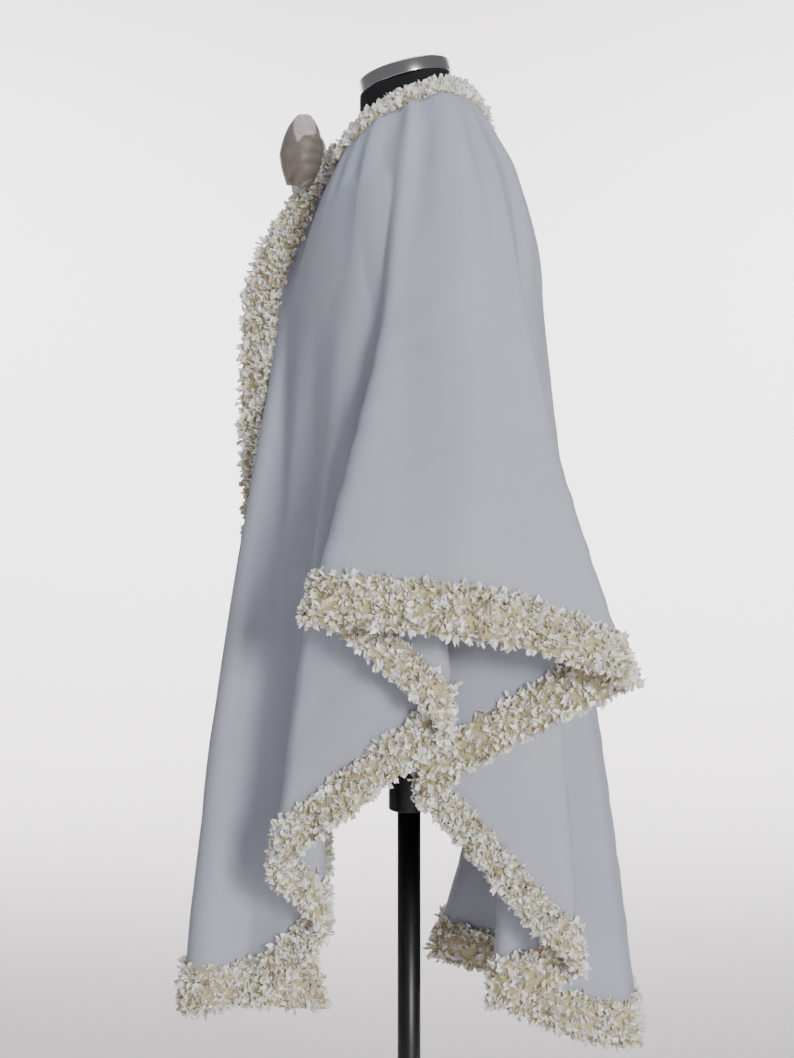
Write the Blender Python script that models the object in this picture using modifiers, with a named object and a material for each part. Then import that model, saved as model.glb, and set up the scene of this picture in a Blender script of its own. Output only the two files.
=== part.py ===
"""A bridal cape with a frayed ruffle edge and a ribbon bow, resting on a dress form with a stand.

Metres, +Z up. The front faces -Y and the wearer's left is +X. The origin is on the floor, under the
middle of the pole. Each half of the cape is one surface, worked out from a table of folds. A row of
the table is one fold, with its place on the neckline, at the chest and at the hem.
"""

import math
from collections import namedtuple

import bmesh
import bpy
import numpy as np

# The cape
CLOTH = 0.0022  # thickness of the wall
GAP = 0.0003  # between pieces that meet
FRONT_GAP, NECK_GAP = 0.0008, 0.0009  # wider where a twisted seam is met by straight pieces
CHEST = 0.30  # where on a column, from 0 at the neck to 1 at the hem, the chest's row lies
ARC = 0.25  # a fold's bend spans this much to each side of its number

# The ruffle
TRIM_WIDTH = 0.038
TRIM_WAVE = 0.022  # length of one ruffle wave, along the edge
TRIM_SECTION = [  # across the ruffle, from the cloth to the free edge: width passed, half thickness
    (0.00, 0.0011),
    (0.30, 0.0085),
    (0.78, 0.0080),
    (1.00, 0.0020),
]
TRIM_THICK, TRIM_THIN = 1.12, 0.82  # a wave's crest and trough, against the table's thickness
TRIM_BACK = 0.6  # thickness on the inner side, against the outer side
PRESSED = 0.35  # share of the thickness left beside the bow
SETTLE_STEPS = 12  # rounds in which the cloth's edges and columns settle on each other
LATE_FRONT = (0.65, 1.0)  # places of the front ruffle's side between which the anchor moves on
COLUMN_GAP = 0.1  # least distance in s from the front ruffle to a column
NECK_WAVE = (0.35, 0.7)  # share of a wave between sections, near the bow and further back
BOW_REACH = 2.0  # places in s that count as near the bow

# The dress form and its stand
CAP_RADIUS = 0.0505
CAP_HEIGHT = 0.0155
CAP_CENTRE = (0.0, -0.004, 1.4735)
CAP_TILT = math.radians(14.0)
TORSO_FOOT = 0.745
COLLAR_RADIUS, COLLAR_HEIGHT = 0.022, 0.060
POLE_RADIUS = 0.0125
BASE_RADIUS, BASE_THICK = 0.170, 0.012
BOSS_RADIUS, BOSS_HEIGHT = 0.030, 0.040

# The bow
KNOT_CENTRE = (0.0, -0.1150, 1.3740)
KNOT_SIZE = (0.018, 0.022, 0.020)
LOOP_START = 0.0091  # from the middle of the knot
LOOP_LENGTH, LOOP_PUFF = 0.086, 0.015
LOOP_LEAN = math.radians(-6.0)  # how far its top tips forward
LOOP_FORWARD, LOOP_UP = 0.05, 0.08  # for each metre away from the knot
RIBBON_ROOT, RIBBON_WIDE = 0.016, 0.070
RIBBON = 0.0010

# The neckline's path for the left half, from the front knot to the centre back
NECKLINE = [  # x, y, z
    (0.010, -0.092, 1.370),
    (0.038, -0.071, 1.392),
    (0.059, -0.042, 1.416),
    (0.066, -0.006, 1.437),
    (0.060, 0.026, 1.450),
    (0.036, 0.051, 1.457),
    (0.000, 0.062, 1.459),
]

# A fold turns to the left (1, a ridge) or to the right (-1, a valley) on the way from front to back.
# neck: share of the neckline. chest and hem: x, y, z. A fold's hem place is the middle of its bend.
# rise: height over the chest's row that rounds the fold over the shoulder.
# leave and arrive: how steeply the fold flares at the chest and at the hem, where 1 is a straight fall.
# bulge: how far the panel after the fold bows out.
Fold = namedtuple("Fold", "name turn neck chest hem radius rise leave arrive bulge")
LEFT_FOLDS = [
    Fold("front_edge", 1, 0.00, (0.012, -0.176, 1.210), (0.020, -0.088, 0.476), 0.0, 0.08, -0.5, 1.8, 0.0),
    Fold("front_flute", 1, 0.21, (0.041, -0.127, 1.220), (0.088, -0.208, 0.503), 0.022, 0.07, 1.5, 0.5, 0.0),
    Fold("front_groove", -1, 0.28, (0.084, -0.112, 1.220), (0.102, -0.168, 0.505), 0.013, 0.09, 0.6, 0.8, 0.004),
    Fold("first_tuck", -1, 0.33, (0.116, -0.092, 1.225), (0.130, -0.099, 0.590), 0.016, 0.12, 0.1, 0.6, 0.003),
    Fold("first_ridge", 1, 0.38, (0.143, -0.070, 1.230), (0.172, -0.114, 0.658), 0.016, 0.14, 0.2, 0.8, 0.004),
    Fold("second_tuck", -1, 0.46, (0.168, -0.044, 1.235), (0.216, 0.020, 0.802), 0.015, 0.15, 0.3, -0.8, 0.0),
    Fold("side_front", 1, 0.55, (0.190, -0.016, 1.240), (0.250, -0.079, 0.912), 0.015, 0.155, 0.6, 1.1, 0.0),
    Fold("side", 1, 0.66, (0.208, 0.048, 1.250), (0.190, 0.050, 0.901), 0.095, 0.155, 0.5, 1.1, 0.0),
    Fold("side_back", 1, 0.79, (0.184, 0.099, 1.240), (0.250, 0.189, 0.853), 0.016, 0.14, 0.6, 1.2, 0.0),
    Fold("third_tuck", -1, 0.83, (0.151, 0.119, 1.230), (0.172, 0.029, 0.726), 0.015, 0.12, 0.4, -0.9, 0.004),
    Fold("back_ridge", 1, 0.87, (0.123, 0.129, 1.220), (0.142, 0.152, 0.555), 0.016, 0.12, 0.3, 1.0, 0.0),
    Fold("fourth_tuck", -1, 0.91, (0.090, 0.135, 1.220), (0.105, 0.099, 0.510), 0.016, 0.12, 0.2, 0.8, 0.004),
    Fold("back_flute", 1, 0.95, (0.054, 0.140, 1.220), (0.050, 0.210, 0.456), 0.028, 0.12, 0.6, 0.8, 0.004),
    Fold("centre_back", 1, 1.00, (0.000, 0.144, 1.220), (0.000, 0.240, 0.452), 0.0, 0.13, 0.8, 0.8, 0.0),
]

# How the right half's folds differ from the left's mirror image, at the hem
RIGHT_CHANGES = {  # x, y, z, arrive
    "front_edge": (0.000, -0.010, 0.004, 0.0),
    "front_flute": (-0.006, -0.002, 0.010, 0.0),
    "first_tuck": (-0.004, -0.014, -0.012, 0.0),
    "first_ridge": (-0.004, 0.006, 0.016, 0.1),
    "second_tuck": (-0.004, -0.018, -0.010, 0.2),
    "side_front": (0.002, 0.010, 0.006, 0.0),
    "side_back": (0.000, -0.008, -0.010, 0.0),
    "third_tuck": (0.000, -0.012, 0.014, 0.0),
    "back_ridge": (0.000, 0.008, -0.008, 0.0),
    "fourth_tuck": (0.000, -0.056, -0.012, 1.4),
    "back_flute": (0.004, 0.000, 0.000, 0.0),
}

# Rows of the cloth's grid, from the neck ruffle to the hem ruffle
CLOTH_ROWS = [0.0, 0.05, 0.11, 0.18, 0.25, 0.32, 0.39, 0.47, 0.57, 0.68, 0.79, 0.89, 1.0]

# Rings of the torso: height, half width, front, back
TORSO_RINGS = [
    (0.745, 0.138, -0.094, 0.092),
    (0.790, 0.148, -0.100, 0.100),
    (0.850, 0.150, -0.099, 0.100),
    (0.920, 0.141, -0.092, 0.091),
    (0.990, 0.127, -0.084, 0.081),
    (1.040, 0.124, -0.083, 0.079),
    (1.100, 0.133, -0.094, 0.084),
    (1.165, 0.147, -0.112, 0.091),
    (1.220, 0.155, -0.119, 0.096),
    (1.270, 0.162, -0.112, 0.100),
    (1.305, 0.1645, -0.0994, 0.098),
    (1.328, 0.156, -0.088, 0.092),
    (1.346, 0.135, -0.077, 0.085),
    (1.362, 0.108, -0.069, 0.077),
    (1.378, 0.083, -0.062, 0.067),
    (1.395, 0.064, -0.057, 0.057),
    (1.420, 0.054, -0.053, 0.048),
    (1.448, 0.050, -0.053, 0.045),
    (1.4652, 0.049, -0.053, 0.045),
]
TORSO_SIDES = 32

COLOURS = {  # base colour, roughness, metallic
    "wool_crepe": ((0.46, 0.48, 0.54), 0.85, 0.0),
    "frayed_organza": ((0.62, 0.57, 0.47), 0.75, 0.0),
    "bow_organza": ((0.36, 0.31, 0.28), 0.45, 0.0),
    "black_jersey": ((0.010, 0.010, 0.011), 0.80, 0.0),
    "brushed_steel": ((0.60, 0.60, 0.62), 0.30, 1.0),
    "black_paint": ((0.012, 0.012, 0.013), 0.40, 0.0),
}


def smooth(values, s, places=None):
    """A smooth curve through rows of values, which never swings past them.

    The values stand at the given places, or else at 0, 1, 2 and so on. Each stretch is a cubic. Its
    slope at a value is the harmonic mean of the slopes beside it, and nought where those have
    opposite signs.
    """
    rows = np.asarray(values, float)
    rows = rows.reshape(len(rows), -1)
    places = np.arange(len(rows)) if places is None else np.asarray(places)
    width = np.diff(places)[:, None]
    steep = np.diff(rows, axis=0) / width
    slope = np.zeros_like(rows)
    before, after = steep[:-1], steep[1:]
    same = before * after > 0
    slope[1:-1][same] = 2 * (before * after)[same] / (before + after)[same]
    slope[0], slope[-1] = steep[0], steep[-1]
    first = np.clip(np.searchsorted(places, s, side="right") - 1, 0, len(rows) - 2)
    f = ((s - places[first]) / width[first, 0])[..., None]
    return (
        rows[first] * (1 + 2 * f) * (1 - f) ** 2
        + slope[first] * width[first] * f * (1 - f) ** 2
        + rows[first + 1] * f**2 * (3 - 2 * f)
        - slope[first + 1] * width[first] * f**2 * (1 - f)
    )


class Half:
    """One half of the cape as a surface. s counts the folds from the front edge to the centre back,
    and t runs from 0 at the neck to 1 at the free edge of the hem ruffle."""

    def __init__(self, folds, side):
        self.side = side
        self.last = len(folds) - 1
        self.neck = [fold.neck for fold in folds]
        self.chest = [fold.chest for fold in folds]
        self.hem_height = [fold.hem[2] for fold in folds]
        self.shape = [(fold.rise, fold.leave, fold.arrive) for fold in folds]
        self.bulge = np.array([fold.bulge for fold in folds])
        self.turn = np.array([fold.turn for fold in folds], float)
        self.radius = np.array([fold.radius for fold in folds])
        self.centre = np.array([fold.hem[:2] for fold in folds])
        self.heading = self.leg_headings()
        self.measure_hem()
        self.measure_edges()

    def leg_headings(self):
        """The direction of each panel at the hem, as the straight line that touches the bends at its
        two ends, each on the side that the bend turns from."""
        ahead = np.diff(self.centre, axis=0)
        signed = self.turn * self.radius
        aside = signed[1:] - signed[:-1]
        return np.arctan2(ahead[:, 1], ahead[:, 0]) - np.arcsin(aside / np.hypot(*ahead.T))

    def bend_point(self, i, angle):
        """The point of bend i at which the path runs in the direction angle."""
        left = np.stack([-np.sin(angle), np.cos(angle)], axis=-1)
        return self.centre[i] - (self.turn[i] * self.radius[i])[..., None] * left

    def hem_plan(self, s):
        """x and y of the hem: round arcs at the folds, joined by panels that bow out a little."""
        i = np.clip(np.round(s).astype(int), 0, self.last)
        came = self.heading[np.clip(i - 1, 0, self.last - 1)]
        goes = self.heading[np.clip(i, 0, self.last - 1)]
        swing = (self.turn[i] * (goes - came)) % (2 * math.pi)
        share = np.clip((s - i + ARC) / (2 * ARC), 0, 1)
        bend = self.bend_point(i, came + self.turn[i] * swing * share)

        leg = np.clip(np.floor(s).astype(int), 0, self.last - 1)
        first = np.where(leg == 0, 0.0, leg + ARC)
        final = np.where(leg == self.last - 1, self.last, leg + 1 - ARC)
        along = np.clip((s - first) / (final - first), 0, 1)[..., None]
        start = self.bend_point(leg, self.heading[leg])
        end = self.bend_point(leg + 1, self.heading[leg])
        right = np.stack([np.sin(self.heading[leg]), -np.cos(self.heading[leg])], axis=-1)
        bow = self.bulge[leg][..., None] * np.sin(math.pi * along) ** 2
        panel = start + (end - start) * along + right * bow
        on_bend = (np.abs(s - i) <= ARC) & (i > 0) & (i < self.last)
        return np.where(on_bend[..., None], bend, panel)

    def measure_hem(self):
        """The distance run along the hem, seen from above, at each of a fine row of places."""
        self.hem_s = np.linspace(0, self.last, 80 * self.last + 1)
        steps = np.linalg.norm(np.diff(self.hem_plan(self.hem_s), axis=0), axis=-1)
        self.hem_run = np.concatenate([[0.0], np.cumsum(steps)])

    def point(self, s, t):
        """A column is a curve over the shoulder from the neckline to the chest's row, and then a fall
        to the hem. With w the share fallen, its sideways part is the cubic in w that goes from 0 to 1
        with the fold's slopes at its ends."""
        s, t = np.broadcast_arrays(np.asarray(s, float), np.asarray(t, float))
        neck = smooth(NECKLINE, smooth(self.neck, s)[..., 0] * (len(NECKLINE) - 1))
        chest = smooth(self.chest, s)
        height = smooth(self.hem_height, np.interp(s, self.hem_s, self.hem_run), self.hem_run[::80])
        hem = np.concatenate([self.hem_plan(s), height], axis=-1)
        rise, leave, arrive = np.moveaxis(smooth(self.shape, s)[..., None], -2, 0)
        fall = hem - chest
        top = chest + leave * fall * rise / fall[..., 2:]
        top[..., 2:] = chest[..., 2:] + rise
        q = np.clip(t / CHEST, 0, 1)[..., None]
        over = (1 - q) ** 2 * neck + 2 * q * (1 - q) * top + q**2 * chest
        w = np.clip((t - CHEST) / (1 - CHEST), 0, 1)[..., None]
        flare = leave * w + (3 - 2 * leave - arrive) * w**2 + (leave + arrive - 2) * w**3
        down = chest + fall * flare
        down[..., 2] = (chest + fall * w)[..., 2]
        found = np.where((t < CHEST)[..., None], over, down)
        return found * np.array([self.side, 1.0, 1.0])

    def normal(self, s, t):
        """The outward direction, square to the two ways along the surface."""
        e = 1e-3
        along = self.point(np.minimum(s + e, self.last), t) - self.point(np.maximum(s - e, 0), t)
        down = self.point(s, np.minimum(t + e, 1)) - self.point(s, np.maximum(t - e, 0))
        n = np.cross(down, along) * self.side
        return n / np.linalg.norm(n, axis=-1, keepdims=True)

    def measure_edges(self):
        """Where the cloth stops and the ruffle starts, a ruffle's width in from each edge."""
        self.s_grid = np.linspace(0, self.last, 40 * self.last + 1)
        self.t_grid = np.linspace(0, 1, 201)
        grid = self.point(self.s_grid[:, None], self.t_grid[None, :])
        down = np.linalg.norm(np.diff(grid, axis=1), axis=-1)
        down = np.concatenate([np.zeros((len(grid), 1)), np.cumsum(down, axis=1)], axis=1)
        across = np.linalg.norm(np.diff(grid[:101], axis=0), axis=-1)
        across = np.concatenate([np.zeros((1, across.shape[1])), np.cumsum(across, axis=0)])

        def at(neck_gap, hem_gap, front_gap):
            neck = [np.interp(TRIM_WIDTH + neck_gap, d, self.t_grid) for d in down]
            hem = [np.interp(d[-1] - TRIM_WIDTH - hem_gap, d, self.t_grid) for d in down]
            front = [np.interp(TRIM_WIDTH + front_gap, a, self.s_grid[:101]) for a in across.T]
            return np.array(neck), np.array(hem), np.array(front)

        self.trim_edges = at(0.0, 0.0, 0.0)
        self.cloth_edges = at(NECK_GAP, GAP, FRONT_GAP)

    def edges(self, s, t, cloth=True):
        """The neck's and the hem's limit in t at s, and the front's limit in s at t."""
        neck, hem, front = self.cloth_edges if cloth else self.trim_edges
        return (
            np.interp(s, self.s_grid, neck),
            np.interp(s, self.s_grid, hem),
            np.interp(t, self.t_grid, front),
        )

    def columns(self):
        """The folds' counts at which the cloth has a column: five on a sharp bend, three on a shallow
        one, and one to four on the panel between."""
        found = []
        for i in range(self.last):
            first, final = i + ARC, i + 1 - ARC
            if i == 0:
                first = 0.0
            else:
                sharp = abs(math.sin((self.heading[i] - self.heading[i - 1]) / 2)) > 0.7
                found += list(np.linspace(i - ARC, i + ARC, 5 if sharp else 3))
            if i == self.last - 1:
                final = float(self.last)
            length = np.linalg.norm(self.centre[i + 1] - self.centre[i])
            inner = 3 if length > 0.15 else 2 if length > 0.1 else 1
            found += list(np.linspace(first, final, inner + 2)[1:-1])
        return np.array(found + [float(self.last)])

    def cloth_grid(self):
        """s and t of the cloth's points. Where the front ruffle's inner side lies further back than at
        the hem, the columns before an anchor are squeezed between the two."""
        start = self.edges(0.0, 1.0)[2]
        column = self.columns()
        column = np.concatenate([[start], column[column > start + COLUMN_GAP]])
        row = np.array(CLOTH_ROWS)[:, None]
        t = np.broadcast_to(row, (len(row), len(column)))
        for _ in range(SETTLE_STEPS):
            front = self.edges(0.0, t)[2]
            late = np.clip((front - LATE_FRONT[0]) / (LATE_FRONT[1] - LATE_FRONT[0]), 0, 1)
            anchor = 1 - ARC + late * (1 + ARC)
            squeezed = front + (column - start) * (anchor - front) / (anchor - start)
            s = np.where(column < anchor, squeezed, column)
            top, foot, _front = self.edges(s, t)
            t = top + (foot - top) * row
        return s, t


def right_folds():
    """The right half's folds: the left's, each moved at the hem by its row of RIGHT_CHANGES."""
    folds = []
    for fold in LEFT_FOLDS:
        change = RIGHT_CHANGES.get(fold.name, (0.0, 0.0, 0.0, 0.0))
        hem = tuple(a + b for a, b in zip(fold.hem, change))
        folds.append(fold._replace(hem=hem, arrive=fold.arrive + change[3]))
    return folds


def make_material(name):
    colour, roughness, metallic = COLOURS[name]
    material = bpy.data.materials.new(name)
    material.use_nodes = True
    shader = material.node_tree.nodes["Principled BSDF"]
    shader.inputs["Base Color"].default_value = (*colour, 1.0)
    shader.inputs["Roughness"].default_value = roughness
    shader.inputs["Metallic"].default_value = metallic
    return material


def add_object(name, mesh, material, collection):
    obj = bpy.data.objects.new(name, mesh)
    obj.data.materials.append(bpy.data.materials[material])
    mesh.shade_smooth()
    collection.objects.link(obj)
    return obj


def grid_mesh(name, points, close_across=False, cap_ends=False):
    """A mesh over rows of points. A closed one joins each row's end to its start, and may have a flat
    face over its first and last row."""
    rows, cols = points.shape[:2]
    index = np.arange(rows * cols).reshape(rows, cols)
    if close_across:
        index = np.concatenate([index, index[:, :1]], axis=1)
    quads = np.stack(
        [index[:-1, :-1], index[:-1, 1:], index[1:, 1:], index[1:, :-1]], axis=-1
    ).reshape(-1, 4)
    faces = [tuple(int(v) for v in quad) for quad in quads]
    if cap_ends:
        faces.append(tuple(int(v) for v in index[0, :cols][::-1]))
        faces.append(tuple(int(v) for v in index[-1, :cols]))
    mesh = bpy.data.meshes.new(name)
    mesh.from_pydata(points.reshape(-1, 3).tolist(), [], faces)
    if close_across:
        bm = bmesh.new()
        bm.from_mesh(mesh)
        bmesh.ops.recalc_face_normals(bm, faces=bm.faces)
        bm.to_mesh(mesh)
        bm.free()
    return mesh


def add_cloth(name, half, collection):
    """The open surface of one half, made a wall."""
    s, t = half.cloth_grid()
    middle, normal = half.point(s, t), half.normal(s, t)
    outer, inner = middle + normal * CLOTH / 2, middle - normal * CLOTH / 2
    rows = []
    for outside, inside in zip(outer, inner):
        rows.append(np.concatenate([outside, inside[::-1]]))
    mesh = grid_mesh(name, np.array(rows), close_across=True)
    cols = outer.shape[1]
    bm = bmesh.new()
    bm.from_mesh(mesh)
    bm.verts.ensure_lookup_table()
    for row in (0, len(rows) - 1):
        first = row * 2 * cols
        for i in range(cols - 1):
            ring = [first + 2 * cols - 1 - i, first + i, first + i + 1, first + 2 * cols - 2 - i]
            bm.faces.new([bm.verts[v] for v in ring])
    bmesh.ops.recalc_face_normals(bm, faces=bm.faces)
    bm.to_mesh(mesh)
    bm.free()
    return add_object(name, mesh, "wool_crepe", collection)


def ruffle_sections(middle, normal, pressed):
    """Closed sections along a ruffle, as rows of points. middle and normal hold, for each station, the
    points of TRIM_SECTION on the surface. Stations further apart than a wave get more between them,
    and the thickness swells and thins from one station to the next. pressed holds the shares of the
    thickness left at the first and the last section, where another ruffle or the bow lies against it."""
    half = np.array([row[1] for row in TRIM_SECTION])[:, None]
    rows = []
    for j in range(len(middle) - 1):
        length = np.linalg.norm(middle[j + 1, -1] - middle[j, -1])
        parts = max(1, round(length / TRIM_WAVE))
        for k in range(parts):
            f = k / parts
            rows.append(
                (
                    middle[j] * (1 - f) + middle[j + 1] * f,
                    normal[j] * (1 - f) + normal[j + 1] * f,
                )
            )
    rows.append((middle[-1], normal[-1]))
    sections = []
    for k, (points, aside) in enumerate(rows):
        swell = np.full((len(half), 1), TRIM_THICK if k % 2 else TRIM_THIN)
        swell *= pressed[0] ** max(0.0, 1 - k / 2) * pressed[1] ** max(0.0, 1 - (len(rows) - 1 - k) / 2)
        lift = aside * half * swell
        lift[0] = aside[0] * half[0]
        back = points - lift * np.array([1.0] + [TRIM_BACK] * (len(half) - 1))[:, None]
        sections.append(np.concatenate([points + lift, back[::-1]]))
    return np.array(sections)


def hem_stations(half):
    """Places of the hem ruffle's section points, from the front to the centre back."""
    s = half.cloth_grid()[0][-1]
    width = np.array([row[0] for row in TRIM_SECTION])
    foot = half.edges(s, s, cloth=False)[1][:, None]
    t = foot + (1 - foot) * width[None, :]
    s = np.repeat(s[:, None], len(width), axis=1)
    s[0] = half.edges(0.0, t[0])[2]
    return s, t


def neck_stations(half):
    """Places of the neck ruffle's section points, from the front to the centre back. They are some of
    the cloth's columns, about a wave apart."""
    s = half.cloth_grid()[0][0]
    width = np.array([row[0] for row in TRIM_SECTION])
    top = half.edges(s, s, cloth=False)[0]
    seam = half.point(s, top)
    picked = [0]
    for i in range(1, len(s) - 1):
        apart = np.linalg.norm(seam[i] - seam[picked[-1]])
        left_over = np.linalg.norm(seam[-1] - seam[i])
        least = NECK_WAVE[0] if s[i] < BOW_REACH else NECK_WAVE[1]
        if apart > least * TRIM_WAVE and left_over > TRIM_WAVE / 2:
            picked.append(i)
    picked.append(len(s) - 1)
    t = top[picked][:, None] * (1 - width[None, :])
    s = np.repeat(s[picked][:, None], len(width), axis=1)
    s[0] = half.edges(0.0, t[0])[2]
    return s, t


def front_stations(half):
    """Places of a front ruffle's section points, from the knot to the hem. Beside the neck's and the
    hem's ruffle they are where those have the points of their end sections."""
    neck_end = neck_stations(half)[1][0][::-1]
    hem_end = hem_stations(half)[1][0]
    cloth = half.cloth_grid()[1][:, 0]
    t = np.concatenate([neck_end[:-1], cloth, hem_end[1:]])
    width = np.array([row[0] for row in TRIM_SECTION])
    start = half.edges(0.0, t, cloth=False)[2][:, None]
    return start * (1 - width[None, :]), np.repeat(t[:, None], len(width), axis=1)


def add_ruffle(name, middle, normal, pressed, collection):
    sections = ruffle_sections(middle, normal, pressed)
    mesh = grid_mesh(name, sections, close_across=True, cap_ends=True)
    return add_object(name, mesh, "frayed_organza", collection)


def add_half(side_name, half, collection):
    """One half's cloth, its front ruffle and its hem ruffle."""
    add_cloth(f"cape_{side_name}", half, collection)
    hem, front = hem_stations(half), front_stations(half)
    add_ruffle(
        f"hem_trim_{side_name}", half.point(*hem), half.normal(*hem), (1.0, 1.0), collection
    )
    add_ruffle(
        f"front_trim_{side_name}", half.point(*front), half.normal(*front), (PRESSED, 1.0), collection
    )
    for name in (f"cape_{side_name}", f"hem_trim_{side_name}"):
        mesh = bpy.data.objects[name].data
        for vertex in mesh.vertices:
            vertex.co.x = half.side * max(vertex.co.x * half.side, GAP / 2)


def add_neck_ruffle(left, right, collection):
    """One strip from the left front, round the back of the neck, to the right front."""
    left_places, right_places = neck_stations(left), neck_stations(right)
    middle = np.concatenate([left.point(*left_places), right.point(*right_places)[::-1][1:]])
    normal = np.concatenate([left.normal(*left_places), right.normal(*right_places)[::-1][1:]])
    return add_ruffle("neck_trim", middle, normal, (PRESSED, PRESSED), collection)


GATHER = 0.0022  # depth of the ribbon's gathers


def loop_points(side):
    """Half of the bow: a ribbon that leaves the knot, turns back in a teardrop and returns.

    u runs along the ribbon and v across it. The way out goes as sin(pi u), the puff as sin(2 pi u),
    and the ribbon widens from the knot to the turn. Three gathers run out from the knot.
    """
    u = np.linspace(0.035, 0.965, 15)[:, None]
    v = np.linspace(-1, 1, 9)[None, :]
    swell = np.sin(math.pi * u)
    away = LOOP_START + LOOP_LENGTH * (swell - swell[0]) * (1 - 0.10 * v**2)
    width = RIBBON_ROOT + (RIBBON_WIDE - RIBBON_ROOT) * swell**0.8
    gather = GATHER * np.sin(3 * math.pi * v) * swell**0.5
    depth = -LOOP_PUFF * np.sin(2 * math.pi * u) * (1 - 0.3 * v**2) + gather
    across = v * width / 2
    x = side * away
    y = depth * math.cos(LOOP_LEAN) - across * math.sin(LOOP_LEAN) - LOOP_FORWARD * away
    z = across * math.cos(LOOP_LEAN) + depth * math.sin(LOOP_LEAN) + LOOP_UP * away
    points = np.stack(np.broadcast_arrays(x, y, z), axis=-1)
    return points + np.array(KNOT_CENTRE)


def add_bow(collection):
    for side, name in ((1, "bow_loop_left"), (-1, "bow_loop_right")):
        obj = add_object(name, grid_mesh(name, loop_points(side)), "bow_organza", collection)
        wall = obj.modifiers.new("Ribbon", "SOLIDIFY")
        wall.thickness = RIBBON
        wall.offset = 0.0
    bm = bmesh.new()
    bmesh.ops.create_uvsphere(bm, u_segments=14, v_segments=8, radius=1.0)
    for vertex in bm.verts:
        size = [a / 2 for a in KNOT_SIZE]
        vertex.co = [c * a + b for c, a, b in zip(vertex.co, size, KNOT_CENTRE)]
    mesh = bpy.data.meshes.new("bow_knot")
    bm.to_mesh(mesh)
    bm.free()
    add_object("bow_knot", mesh, "bow_organza", collection)


NECK_FOOT = 1.39  # above this the rings tilt
RING_POWER = 2 / 2.25


def torso_ring(height, half_width, front, back):
    """A ring of the torso: half an oval in front and half behind, a little squarer than an ellipse.
    The neck's rings tilt forward with the cap."""
    angle = np.linspace(0, 2 * math.pi, TORSO_SIDES, endpoint=False)
    c, s = np.cos(angle), np.sin(angle)
    x = half_width * np.sign(c) * np.abs(c) ** RING_POWER
    depth = np.where(s < 0, -front, back)
    y = depth * np.sign(s) * np.abs(s) ** RING_POWER
    tilt = np.clip((height - NECK_FOOT) / (TORSO_RINGS[-1][0] - NECK_FOOT), 0, 1)
    z = height + (y - CAP_CENTRE[1]) * math.tan(CAP_TILT) * tilt
    return np.stack([x, y, np.broadcast_to(z, x.shape)], axis=-1)


def add_torso(collection):
    points = np.array([torso_ring(*ring) for ring in TORSO_RINGS])
    mesh = grid_mesh("form_torso", points, close_across=True, cap_ends=True)
    return add_object("form_torso", mesh, "black_jersey", collection)


def add_turned(name, radius, height, foot, material, collection, bevel=0.0, sides=32):
    """An upright cylinder with a rounded top rim, standing at foot."""
    bm = bmesh.new()
    bmesh.ops.create_cone(
        bm, cap_ends=True, segments=sides, radius1=radius, radius2=radius, depth=height
    )
    mesh = bpy.data.meshes.new(name)
    bm.to_mesh(mesh)
    bm.free()
    obj = add_object(name, mesh, material, collection)
    obj.location = (0.0, 0.0, foot + height / 2)
    if bevel:
        rim = obj.modifiers.new("Rim", "BEVEL")
        rim.width = bevel
        rim.segments = 3
        rim.limit_method = "ANGLE"
    return obj


def add_base(collection):
    """A round cast plate with a boss for the pole, turned from one profile."""
    profile = [
        (0.0, BOSS_HEIGHT),
        (BOSS_RADIUS - 0.004, BOSS_HEIGHT),
        (BOSS_RADIUS, BOSS_HEIGHT - 0.004),
        (BOSS_RADIUS + 0.002, BASE_THICK + 0.006),
        (BOSS_RADIUS + 0.010, BASE_THICK),
        (BASE_RADIUS - 0.006, BASE_THICK - 0.002),
        (BASE_RADIUS, BASE_THICK - 0.007),
        (BASE_RADIUS, 0.0),
        (0.0, 0.0),
    ]
    mesh = bpy.data.meshes.new("form_base")
    edges = [(i, i + 1) for i in range(len(profile) - 1)]
    mesh.from_pydata([(r, 0.0, z) for r, z in profile], edges, [])
    obj = add_object("form_base", mesh, "black_paint", collection)
    turn = obj.modifiers.new("Turned", "SCREW")
    turn.angle = 2 * math.pi
    turn.steps = turn.render_steps = 40
    turn.use_merge_vertices = True
    turn.merge_threshold = 0.0001
    return obj


def add_stand(collection):
    """The neck cap, and under the torso its sleeve, pole and base."""
    cap = add_turned("neck_cap", CAP_RADIUS, CAP_HEIGHT, 0.0, "brushed_steel", collection, 0.0022, 36)
    cap.location = CAP_CENTRE
    cap.rotation_euler = (CAP_TILT, 0.0, 0.0)
    sleeve_foot = TORSO_FOOT - GAP - COLLAR_HEIGHT
    add_turned(
        "form_collar", COLLAR_RADIUS, COLLAR_HEIGHT, sleeve_foot, "black_paint", collection, 0.002, 24
    )
    pole_foot = BOSS_HEIGHT + GAP
    pole_height = sleeve_foot - GAP - pole_foot
    add_turned("form_pole", POLE_RADIUS, pole_height, pole_foot, "black_paint", collection, 0.0, 24)
    add_base(collection)


def clear_scene():
    for obj in list(bpy.data.objects):
        bpy.data.objects.remove(obj, do_unlink=True)


def build():
    clear_scene()
    collection = bpy.data.collections.new("bridal_cape_on_dress_form")
    bpy.context.scene.collection.children.link(collection)
    for name in COLOURS:
        make_material(name)
    left, right = Half(LEFT_FOLDS, 1), Half(right_folds(), -1)
    add_half("left", left, collection)
    add_half("right", right, collection)
    add_neck_ruffle(left, right, collection)
    add_bow(collection)
    add_torso(collection)
    add_stand(collection)


build()
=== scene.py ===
# %% [markdown]
# # A bridal cape on a dress form
#
# The cape is cream-white wool crepe in two halves, edged all round with a ruffle of frayed organza
# petals and closed at the neck by a ribbon bow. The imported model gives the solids. This lesson dresses
# them: each cloth becomes a thin shell with its creases, and each ruffle becomes thousands of petals.

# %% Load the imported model
import math
from collections import namedtuple

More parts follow.
